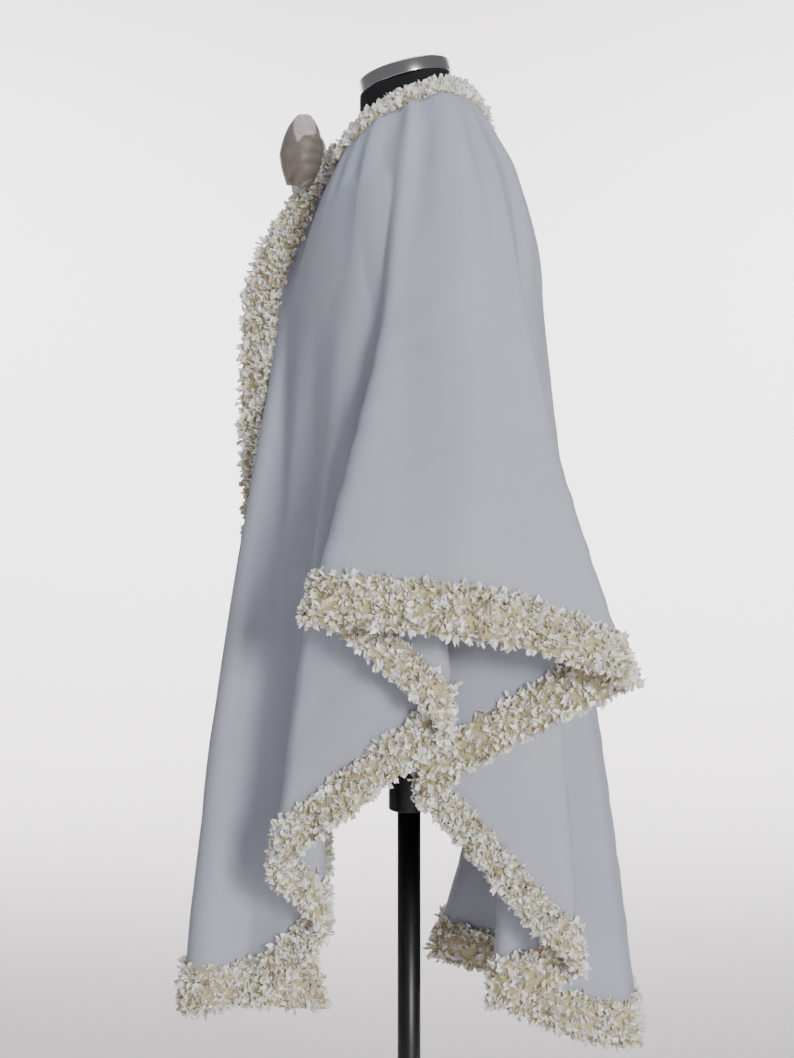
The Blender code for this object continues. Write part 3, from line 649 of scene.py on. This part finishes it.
def cloth_grid(drape):
    """s and t of the shell's points. The first columns follow the front ruffle's inner side."""
    column = cloth_columns(drape.half)
    row = np.linspace(0, 1, CLOTH_ROWS)[:, None]
    share = UNDER / TRIM_WIDTH
    t = np.broadcast_to(row, (CLOTH_ROWS, len(column)))
    for _ in range(SETTLE_STEPS):
        front = drape.edges(0.0, t)[2] * (1 - share)
        s = column + np.maximum(0.0, front * (1 - column / PUSHED))
        top, foot = drape.edges(s, t)[:2]
        top, foot = top * (1 - share), foot + (1 - foot) * share
        t = top + (foot - top) * row
    return s, t


capes = {}
for side_name, drape in drapes.items():
    places = cloth_grid(drape)
    middle = drape.read(drape.points, *places)
    outward = grid_normals(middle, drape.half.side)
    outward_faces = drape.half.side < 0
    points, faces = shell(middle + outward * CLOTH / 2, middle - outward * CLOTH / 2, outward_faces)
    node = f"cape_{side_name}"
    capes[side_name] = add_piece(f"cloth_{side_name}", points, faces, crepe, node)
    steps = np.linalg.norm(np.cross(np.diff(middle, axis=0)[:, :-1], np.diff(middle, axis=1)[:-1]), axis=-1)
    print(node, "faces:", len(faces), f"area {steps.sum():.3f} m2")

# %% [markdown]
# ## The ruffles
#
# The trim is a roll of organza petals torn at their ends, about 40 mm wide. From a step away it reads as
# white flecks on cream. Each petal is a small cupped fan with a ragged end, only eight triangles,
# and thousands of them stand on both sides of a narrow band. Where each stands, which way it leans and
# how far it curls are drawn from a seeded generator, so every run makes the same ruffle.

# %% One petal
PETAL_ROWS = np.array([0.0, 0.6, 1.0])  # share of the length
PETAL_HALF_WIDTH = np.array([0.3, 1.0, 0.8])  # share of half the width
PETAL_COLUMNS = np.array([-1.0, 0.0, 1.0])
UNEVEN, UNEVEN_WIDTH, TORN = 0.05, 0.09, 0.22  # how far points stray, most of all at the torn end
CURL, CUP = 0.55, (0.1, 0.5)  # bend along and across, as shares of the length
# Painted light on the petals: the deep cream at the root is painted shade, and the white at the tip is a
# painted highlight
BRIGHT, BRIGHT_SPREAD = 0.45, 0.35  # petals above BRIGHT go from cream to white, the others from ROOT_SHADE
ROOT_SHADE, CREAM, WHITE = linear("bdb088"), linear("f4ebcd"), linear("ffffff")


def petal_meshes(root, direction, across, size, rng):
    """Many petals at once. Each is a fan of points: a point's place is its share of the length along the
    petal's direction, its share of the width across it, and a cup that lifts the fan's sides and end."""
    count, rows, cols = len(root), len(PETAL_ROWS), len(PETAL_COLUMNS)
    face = np.cross(direction, across)
    along = np.broadcast_to(PETAL_ROWS[:, None], (count, rows, cols)).copy()
    along[:, 1:] += rng.normal(0, UNEVEN, (count, rows - 1, cols))
    along[:, -1] += rng.uniform(-TORN, TORN, (count, cols))
    wide = PETAL_HALF_WIDTH[:, None] * PETAL_COLUMNS[None, :]
    wide = wide + rng.normal(0, UNEVEN_WIDTH, (count, rows, cols))
    curl = rng.uniform(-CURL, CURL, (count, 1, 1))
    cup = rng.uniform(*CUP, (count, 1, 1))
    lifted = curl * along**2 + cup * (wide**2 - 0.3) * along
    lifted = lifted + rng.normal(0, UNEVEN, (count, rows, cols))
    length, width = size[:, 0, None, None, None], size[:, 1, None, None, None]
    points = (
        root[:, None, None]
        + direction[:, None, None] * along[..., None] * length
        + across[:, None, None] * wide[..., None] * width / 2
        + face[:, None, None] * lifted[..., None] * length
    )
    cell = np.array(quads(rows, cols))
    faces = (np.arange(count)[:, None, None] * rows * cols + cell[None]).reshape(-1, 4)
    # painted shade towards each petal's root and a painted highlight towards its tip, on top of a random
    # brightness for each petal
    bright = np.clip(rng.normal(BRIGHT, BRIGHT_SPREAD, (count, 1, 1)), 0, 1)
    tip = np.clip(along * 0.75 + bright * 0.6 - 0.05, 0, 1)[..., None]
    low = np.array(ROOT_SHADE) * (1 - tip) + np.array(CREAM) * tip
    high = np.array(CREAM) * (1 - tip) + np.array(WHITE) * tip
    colours = np.where(bright[..., None] > BRIGHT, high, low * (1 - tip**2) + high * tip**2)
    return points.reshape(-1, 3), faces, colours.reshape(-1, 3)


print("triangles in a petal:", 2 * (len(PETAL_ROWS) - 1) * (len(PETAL_COLUMNS) - 1))

# %% [markdown]
# ## A band full of petals
#
# The real petals are sewn on a narrow tape. A particle system could strew them, but its instances would
# have to be made real before they count as the ruffle's mesh. So each ruffle is built in one go: a flat
# closed band, and petals with their roots in it, leaning out and a little towards the free edge.

# %% Bands of petals
BAND = [  # across the ruffle: share of the width, half thickness in metres
    (0.00, 0.0014),
    (0.25, 0.0032),
    (0.75, 0.0030),
    (1.00, 0.0008),
]
PETAL_LENGTH, PETAL_WIDTH = (0.0052, 0.0090), (0.0038, 0.0072)
OUTSIDE_SHARE = 0.54  # of the petals, on the band's outer side
INSIDE_HEIGHT = 0.8  # the inner side's petals stand lower
STAND, LEAN, SWAY = (0.35, 1.0), 0.42, 0.45  # out of the band, across it and along it
FANNED = 0.75  # petals near the band's two sides lean away from its middle
ROOT_HEIGHT = 0.0026  # roots lie up to this far from the band's middle


def unit(v):
    """Each vector of an array, made one long."""
    return v / np.maximum(np.linalg.norm(v, axis=-1, keepdims=True), 1e-9)


def make_ruffle(name, node, strip, count, seed):
    """A ruffle from a strip of places: rows run along the edge and columns from the cloth to the free
    edge. strip holds the points and the outward directions."""
    middle, normal = strip
    rng = np.random.default_rng(seed)
    half = np.array([row[1] for row in BAND])
    share = np.array([row[0] for row in BAND])
    fine = np.linspace(0, 1, middle.shape[1])
    thick = np.interp(fine, share, half)[None, :, None]
    points, faces = shell(middle + normal * thick, middle - normal * thick, False)
    run = distances(middle[:, middle.shape[1] // 2], 0)
    place = np.interp(rng.uniform(0, run[-1], count), run, np.arange(len(run)))
    place = np.clip(place, 0, len(run) - Draped.INSIDE)
    width = rng.beta(0.9, 0.95, count) * (middle.shape[1] - Draped.INSIDE)  # a little fuller at the sides
    i, j = place.astype(int), width.astype(int)
    u, v = (place - i)[:, None], (width - j)[:, None]

    def read(grid):
        near = grid[i, j] * (1 - u) + grid[i + 1, j] * u
        far = grid[i, j + 1] * (1 - u) + grid[i + 1, j + 1] * u
        return near * (1 - v) + far * v

    root, out = read(middle), unit(read(normal))
    outward = unit(read(np.gradient(middle, axis=1)))
    along = unit(read(np.gradient(middle, axis=0)))
    side = np.where(rng.random(count) < OUTSIDE_SHARE, 1.0, -INSIDE_HEIGHT)[:, None]
    stand = rng.uniform(*STAND, (count, 1)) * side
    edge = (width / (middle.shape[1] - 1))[:, None]
    lean = rng.normal(0, LEAN, (count, 1)) + FANNED * (edge - 0.5)
    direction = unit(out * stand + outward * lean + along * rng.normal(0, SWAY, (count, 1)))
    roll = unit(rng.normal(size=(count, 3)))
    across = unit(np.cross(direction, roll))
    size = np.stack([rng.uniform(*PETAL_LENGTH, count), rng.uniform(*PETAL_WIDTH, count)], axis=-1)
    root = root + out * side * rng.uniform(0, ROOT_HEIGHT, (count, 1))
    petals, petal_faces, petal_colours = petal_meshes(root, direction, across, size, rng)
    # the band takes the root's colour, a painted shade for where it lies in the dark under the petals
    band_colours = np.broadcast_to(np.array(ROOT_SHADE), (len(points), 3))
    colours = np.concatenate([band_colours, petal_colours])
    colours = np.concatenate([colours, np.ones((len(colours), 1))], axis=1)
    faces = faces + (petal_faces + len(points)).tolist()
    piece = add_piece(name, np.concatenate([points, petals]), faces, petal, node)
    attribute = piece.data.color_attributes.new("shade", "FLOAT_COLOR", "POINT")
    attribute.data.foreach_set("color", colours.ravel())
    print(name, "petals:", count, "triangles:", sum(len(f) - 2 for f in faces))
    return piece


print("a band's widest half thickness:", max(row[1] for row in BAND))

# %% [markdown]
# ## Where the ruffles run
#
# A ruffle follows an edge of the cape, so its places are read from the cape's own surface: round the
# hem, down both fronts and round the neck. That way it turns with every fold, and nothing is placed twice.

# %% Strips round the hem, the fronts and the neck
STRIP_WIDTH = np.linspace(-0.16, 1, 8)  # the petals spill a little over the cloth
TUCKED = 0.92  # a strip starts at this share of the front ruffle's width
HEM_PETALS, FRONT_PETALS, NECK_PETALS = 17500, 8000, 4600


def hem_strip(drape, rows=420):
    """Places and directions round the hem of a half, from the front ruffle to the centre back."""
    run = distances(drape.points[-1], 0)
    s = np.interp(np.linspace(0, run[-1], rows), run, drape.s)[:, None]
    foot = drape.edges(s, s)[1]
    t = foot + (1 - foot) * STRIP_WIDTH
    front = drape.edges(0.0, t)[2]
    s = np.maximum(s, front * TUCKED)
    return drape.read(drape.points, s, t), drape.read(drape.normals, s, t)


def front_strip(drape, rows=200):
    """The same down a half's front edge, from the neck to the hem."""
    t = np.linspace(0, 1, rows)[:, None]
    front = drape.edges(0.0, t)[2]
    s, t = np.broadcast_arrays(front * (1 - STRIP_WIDTH), t)
    return drape.read(drape.points, s, t), drape.read(drape.normals, s, t)


def neck_strip(drape, rows=90):
    """The same round a half's neckline, from the front ruffle to the centre back."""
    run = distances(drape.points[0], 0)
    s = np.interp(np.linspace(0, run[-1], rows), run, drape.s)[:, None]
    top = drape.edges(s, s)[0]
    t = top * (1 - STRIP_WIDTH)
    s = np.maximum(s, drape.edges(0.0, t)[2] * TUCKED)
    return drape.read(drape.points, s, t), drape.read(drape.normals, s, t)


def facing_out(strip):
    """The strip with its directions as they are, and its rows ordered so that faces turn outward."""
    middle, normal = strip
    turn = np.cross(np.gradient(middle, axis=0), np.gradient(middle, axis=1))
    agree = np.sum(turn * normal)
    return strip if agree > 0 else (middle[::-1], normal[::-1])


ruffles = []
for number, (side_name, drape) in enumerate(drapes.items()):
    for edge, strip, count, seed in (
        ("hem", hem_strip(drape), HEM_PETALS, 20 + number),
        ("front", front_strip(drape), FRONT_PETALS, 30 + number),
    ):
        name, node = f"ruffle_{edge}_{side_name}", f"{edge}_trim_{side_name}"
        ruffles.append(make_ruffle(name, node, facing_out(strip), count, seed))
left_neck, right_neck = neck_strip(drapes["left"]), neck_strip(drapes["right"])
neck = tuple(np.concatenate([a, b[::-1][1:]]) for a, b in zip(left_neck, right_neck))
ruffles.append(make_ruffle("ruffle_neck", "neck_trim", facing_out(neck), NECK_PETALS, 41))
print("ruffles:", len(ruffles))

# %% [markdown]
# ## The bow
#
# The bow is one ribbon of sheer organza, gathered hard at the knot, so that each loop opens like a fan
# with creases running out from the middle. A loop goes out from the knot, turns and comes back. Its
# creases are a wave across the ribbon that fades towards the outer turn.

# %% Loops and knot
KNOT_CENTRE = np.array([0.0, -0.1150, 1.3740])  # metres
KNOT_SIZE = (0.018, 0.022, 0.020)
LOOP_START, LOOP_LENGTH, LOOP_PUFF = 0.0091, 0.086, 0.022
LOOP_LEAN = math.radians(-6.0)
LOOP_FORWARD = -0.05
LOOP_UP = {1: 0.08, -1: 0.26}  # the far loop stands higher
RIBBON_ROOT, RIBBON_WIDE, RIBBON = 0.016, 0.074, 0.0006  # width at the knot, full width, thickness
PLEATS, PLEAT_OUT, PLEAT_DEEP = 2.1, 0.0034, 0.0012  # waves on each side, and their two heights


def loop_surface(side, rows=90, cols=64):
    """u runs along the ribbon and v across it. The way out goes as sin(pi u), the puff as sin(2 pi u),
    and uneven gathers run out from the knot."""
    u = np.linspace(0.035, 0.965, rows)[:, None]
    v = np.linspace(-1, 1, cols)[None, :]
    swell = np.sin(math.pi * u)
    wander = 0.06 * np.cos(5 * v + 2 * side)
    away = LOOP_START + LOOP_LENGTH * (swell - swell[0]) * (1 - 0.16 * v**2 + 0.25 * wander * swell)
    width = RIBBON_ROOT + (RIBBON_WIDE - RIBBON_ROOT) * swell**0.6
    spread = v * (1 - 0.5 * np.sin(2 * math.pi * u))
    pleat = np.abs(np.sin(PLEATS * math.pi * spread + 0.5 * side + 0.3 * np.sin(5 * v))) ** 0.7 - 0.6
    away = away + PLEAT_OUT * pleat * swell**2
    depth = -LOOP_PUFF * np.sin(2 * math.pi * u) * (1 - 0.45 * v**2) + PLEAT_DEEP * pleat * swell**0.4
    across = v * width / 2
    x = side * away
    y = depth * math.cos(LOOP_LEAN) - across * math.sin(LOOP_LEAN) - LOOP_FORWARD * away
    z = across * math.cos(LOOP_LEAN) + depth * math.sin(LOOP_LEAN) + LOOP_UP[side] * away
    return np.stack(np.broadcast_arrays(x, y, z), axis=-1) + KNOT_CENTRE


def knot_surface(rows=40, cols=72):
    """An oval with grooves that lean round it, as pulled ribbon has."""
    up = np.linspace(0.02, math.pi - 0.02, rows)[:, None]
    round_ = np.linspace(0, 2 * math.pi, cols, endpoint=False)[None, :]
    groove = 1 + 0.06 * np.sin(6 * round_ + 3 * up) * np.sin(up)
    x = KNOT_SIZE[0] / 2 * np.sin(up) * np.cos(round_) * groove
    y = KNOT_SIZE[1] / 2 * np.sin(up) * np.sin(round_) * groove
    z = KNOT_SIZE[2] / 2 * np.cos(up) * np.ones_like(round_)
    return np.stack([x, y, z], axis=-1) + KNOT_CENTRE


bow = []
for side_name, side in (("left", 1), ("right", -1)):
    surface = loop_surface(side)
    aside = grid_normals(surface, 1.0)
    points, faces = shell(surface + aside * RIBBON / 2, surface - aside * RIBBON / 2, True)
    bow.append(
        add_piece(f"loop_{side_name}", points, faces, ribbon, f"bow_loop_{side_name}")
    )
surface = knot_surface()
rows, cols = surface.shape[:2]
caps = [list(range(cols)), [(rows - 1) * cols + i for i in range(cols)][::-1]]
bow.append(
    add_piece("knot", surface, quads(rows, cols, 0, False, True) + caps, ribbon, "bow_knot")
)
print("bow pieces:", [piece.name for piece in bow])

# %% [markdown]
# ## The dress form
#
# The form is a limbless torso under black stretch jersey, with a brushed steel cap on its neck, on a
# painted pole and base. Little of it shows, but its rings are made finer here, so that its neck is round.

# %% Torso
CAP_RADIUS, CAP_HEIGHT, CAP_TILT = 0.0505, 0.0155, math.radians(14.0)
CAP_CENTRE = np.array([0.0, -0.004, 1.4735])
NECK_FOOT = 1.39
TORSO_SIDES, TORSO_ROWS = 96, 110


def torso_surface():
    """Rings between the table's, each half an oval in front and half behind."""
    place = np.linspace(0, len(TORSO_RINGS) - 1, TORSO_ROWS)
    height, half_width, front, back = smooth(TORSO_RINGS, place).T[..., None]
    angle = np.linspace(0, 2 * math.pi, TORSO_SIDES, endpoint=False)[None, :]
    c, s = np.cos(angle), np.sin(angle)
    x = half_width * np.sign(c) * np.abs(c) ** RING_POWER
    y = np.where(s < 0, -front, back) * np.sign(s) * np.abs(s) ** RING_POWER
    tilt = np.clip((height - NECK_FOOT) / (TORSO_RINGS[-1][0] - NECK_FOOT), 0, 1)
    z = height + (y - CAP_CENTRE[1]) * math.tan(CAP_TILT) * tilt
    return np.stack([x, y, z], axis=-1)


def add_closed_rings(name, surface, material, node):
    """A piece from rings that run upward, with a flat face on its first and last ring."""
    rows, cols = surface.shape[:2]
    faces = quads(rows, cols, 0, True, True)
    faces.append(list(range(cols))[::-1])
    faces.append([(rows - 1) * cols + i for i in range(cols)])
    return add_piece(name, surface, faces, material, node)


torso = add_closed_rings("torso", torso_surface(), jersey, "form_torso")
print("torso faces:", len(torso.data.polygons))

# %% [markdown]
# ## The cap and the stand
#
# These are turned pieces, so each is one profile carried round an axis. The cap's edge is rounded by
# about two millimetres, because a sharp edge catches no light, and the cap tilts forward with the neck.

# %% Cap, sleeve, pole and base
ROUND = 0.0022  # radius of the cap's edges
POLE_RADIUS, POLE_FOOT, POLE_TOP = 0.0125, 0.0403, 0.6844
COLLAR_RADIUS, COLLAR_FOOT, COLLAR_TOP, COLLAR_ROUND = 0.022, 0.6847, 0.7447, 0.002


def turned(profile, sides=96):
    """Rings from a profile of radius and height."""
    angle = np.linspace(0, 2 * math.pi, sides, endpoint=False)[None, :]
    r, z = np.array(profile).T[..., None]
    return np.stack(np.broadcast_arrays(r * np.cos(angle), r * np.sin(angle), z), axis=-1)


def rounded(radius, foot, top, edge, steps=6):
    """The profile of a cylinder with round edges."""
    a = np.linspace(0, math.pi / 2, steps)
    low = [(radius - edge + edge * math.sin(x), foot + edge - edge * math.cos(x)) for x in a]
    high = [(radius - edge + edge * math.cos(x), top - edge + edge * math.sin(x)) for x in a]
    return low + high


cap_rings = turned(rounded(CAP_RADIUS, -CAP_HEIGHT / 2, CAP_HEIGHT / 2, ROUND), 128)
tilted = cap_rings.copy()
tilted[..., 1] = cap_rings[..., 1] * math.cos(CAP_TILT) - cap_rings[..., 2] * math.sin(CAP_TILT)
tilted[..., 2] = cap_rings[..., 1] * math.sin(CAP_TILT) + cap_rings[..., 2] * math.cos(CAP_TILT)
add_closed_rings("cap", tilted + CAP_CENTRE, steel, "neck_cap")
collar_profile = rounded(COLLAR_RADIUS, COLLAR_FOOT, COLLAR_TOP, COLLAR_ROUND)
add_closed_rings("collar", turned(collar_profile, 64), paint, "form_collar")
pole_profile = [(POLE_RADIUS, POLE_FOOT), (POLE_RADIUS, POLE_TOP)]
add_closed_rings("pole", turned(pole_profile, 64), paint, "form_pole")
BASE_PROFILE = [  # radius, height
    (0.170, 0.0),
    (0.170, 0.005),
    (0.164, 0.010),
    (0.040, 0.012),
    (0.032, 0.018),
    (0.030, 0.036),
    (0.026, 0.040),
]
add_closed_rings("base", turned(BASE_PROFILE, 128), paint, "form_base")
print("the stand's pieces are made")

# %% [markdown]
# ## What goes with each half
#
# Each half was one piece of crepe before it was sewn and hung. Each half's ruffles are gathered with it,
# and the neck ruffle and the bow go with the left half.


for side_name, cloth in capes.items():
    carried = [piece for piece in ruffles if piece.name.endswith(side_name)]
    if side_name == "left":
        carried += [ruffles[-1]] + bow

# %% [markdown]
# ## The floor, the wall and the light
#
# The floor and the back wall are one pale sweep. A soft lamp near the camera and to the right models the
# folds, a cool one overhead tints the shoulders, and a weak warm one low down takes some blue out of the
# hem, since the photograph is warmer there. Two more light only the wall, which keeps the background
# white without flattening the cloth.

# %% Floor, wall and light
FLOOR_COLOUR = "f1edee"
FLOOR_END, WALL_FOOT, WALL_TOP, BEND, HALF_STAGE = 5.0, -3.4, 6.0, 1.2, 7.0  # metres
ROOM_LIGHT = 0.32  # strength of the even light from all sides


def add_stage():
    """A floor that curves up into a wall behind the cape, as a roll of studio paper does."""
    a = np.linspace(0, math.pi / 2, 16)
    profile = [(FLOOR_END, 0.0)] + [(WALL_FOOT - BEND * math.sin(x), BEND - BEND * math.cos(x)) for x in a]
    profile.append((WALL_FOOT - BEND, WALL_TOP))
    rows = [[(x, y, z) for y in (-HALF_STAGE, HALF_STAGE)] for x, z in profile]
    mesh = bpy.data.meshes.new("stage")
    mesh.from_pydata(np.array(rows).reshape(-1, 3).tolist(), [], quads(len(rows), 2, 0, True))
    mesh.shade_smooth()
    mesh.materials.append(finish("studio_paper", FLOOR_COLOUR, 0.9))
    stage = bpy.data.objects.new("stage", mesh)
    bpy.context.scene.collection.objects.link(stage)


def add_area_light(name, place, target, size, power, colour, spread=180.0):
    """A square soft light at a place, turned to a target, with its beam's width in degrees."""
    lamp = bpy.data.lights.new(name, "AREA")
    lamp.size, lamp.energy, lamp.color, lamp.spread = size, power, colour, math.radians(spread)
    obj = bpy.data.objects.new(name, lamp)
    obj.location = place
    aim = np.array(place) - np.array(target)
    obj.rotation_euler = (
        math.atan2(math.hypot(aim[0], aim[1]), aim[2]),
        0.0,
        math.atan2(aim[1], aim[0]) + math.pi / 2,
    )
    bpy.context.scene.collection.objects.link(obj)


add_stage()
add_area_light("key", (2.9, 1.3, 1.6), (0.0, 0.0, 0.9), 0.7, 76.0, (0.94, 0.97, 1.0))
add_area_light("sky", (0.1, -0.2, 3.2), (0.0, 0.0, 1.0), 1.6, 26.0, (0.80, 0.88, 1.0))
add_area_light("low", (2.5, 1.2, 0.5), (0.0, 0.0, 0.7), 0.9, 8.0, (1.0, 0.93, 0.86))
add_area_light("wall_left", (-1.9, -3.2, 2.6), (-4.6, -0.6, 1.4), 2.0, 200.0, (1.0, 0.97, 0.98), 110.0)
add_area_light("wall_right", (-1.9, 3.2, 2.6), (-4.6, 0.6, 1.4), 2.0, 200.0, (1.0, 0.97, 0.98), 110.0)
world = bpy.data.worlds.new("room")
world.use_nodes = True
background = world.node_tree.nodes["Background"]
background.inputs["Color"].default_value = (*linear("f4f1f3"), 1.0)
background.inputs["Strength"].default_value = ROOM_LIGHT
bpy.context.scene.world = world
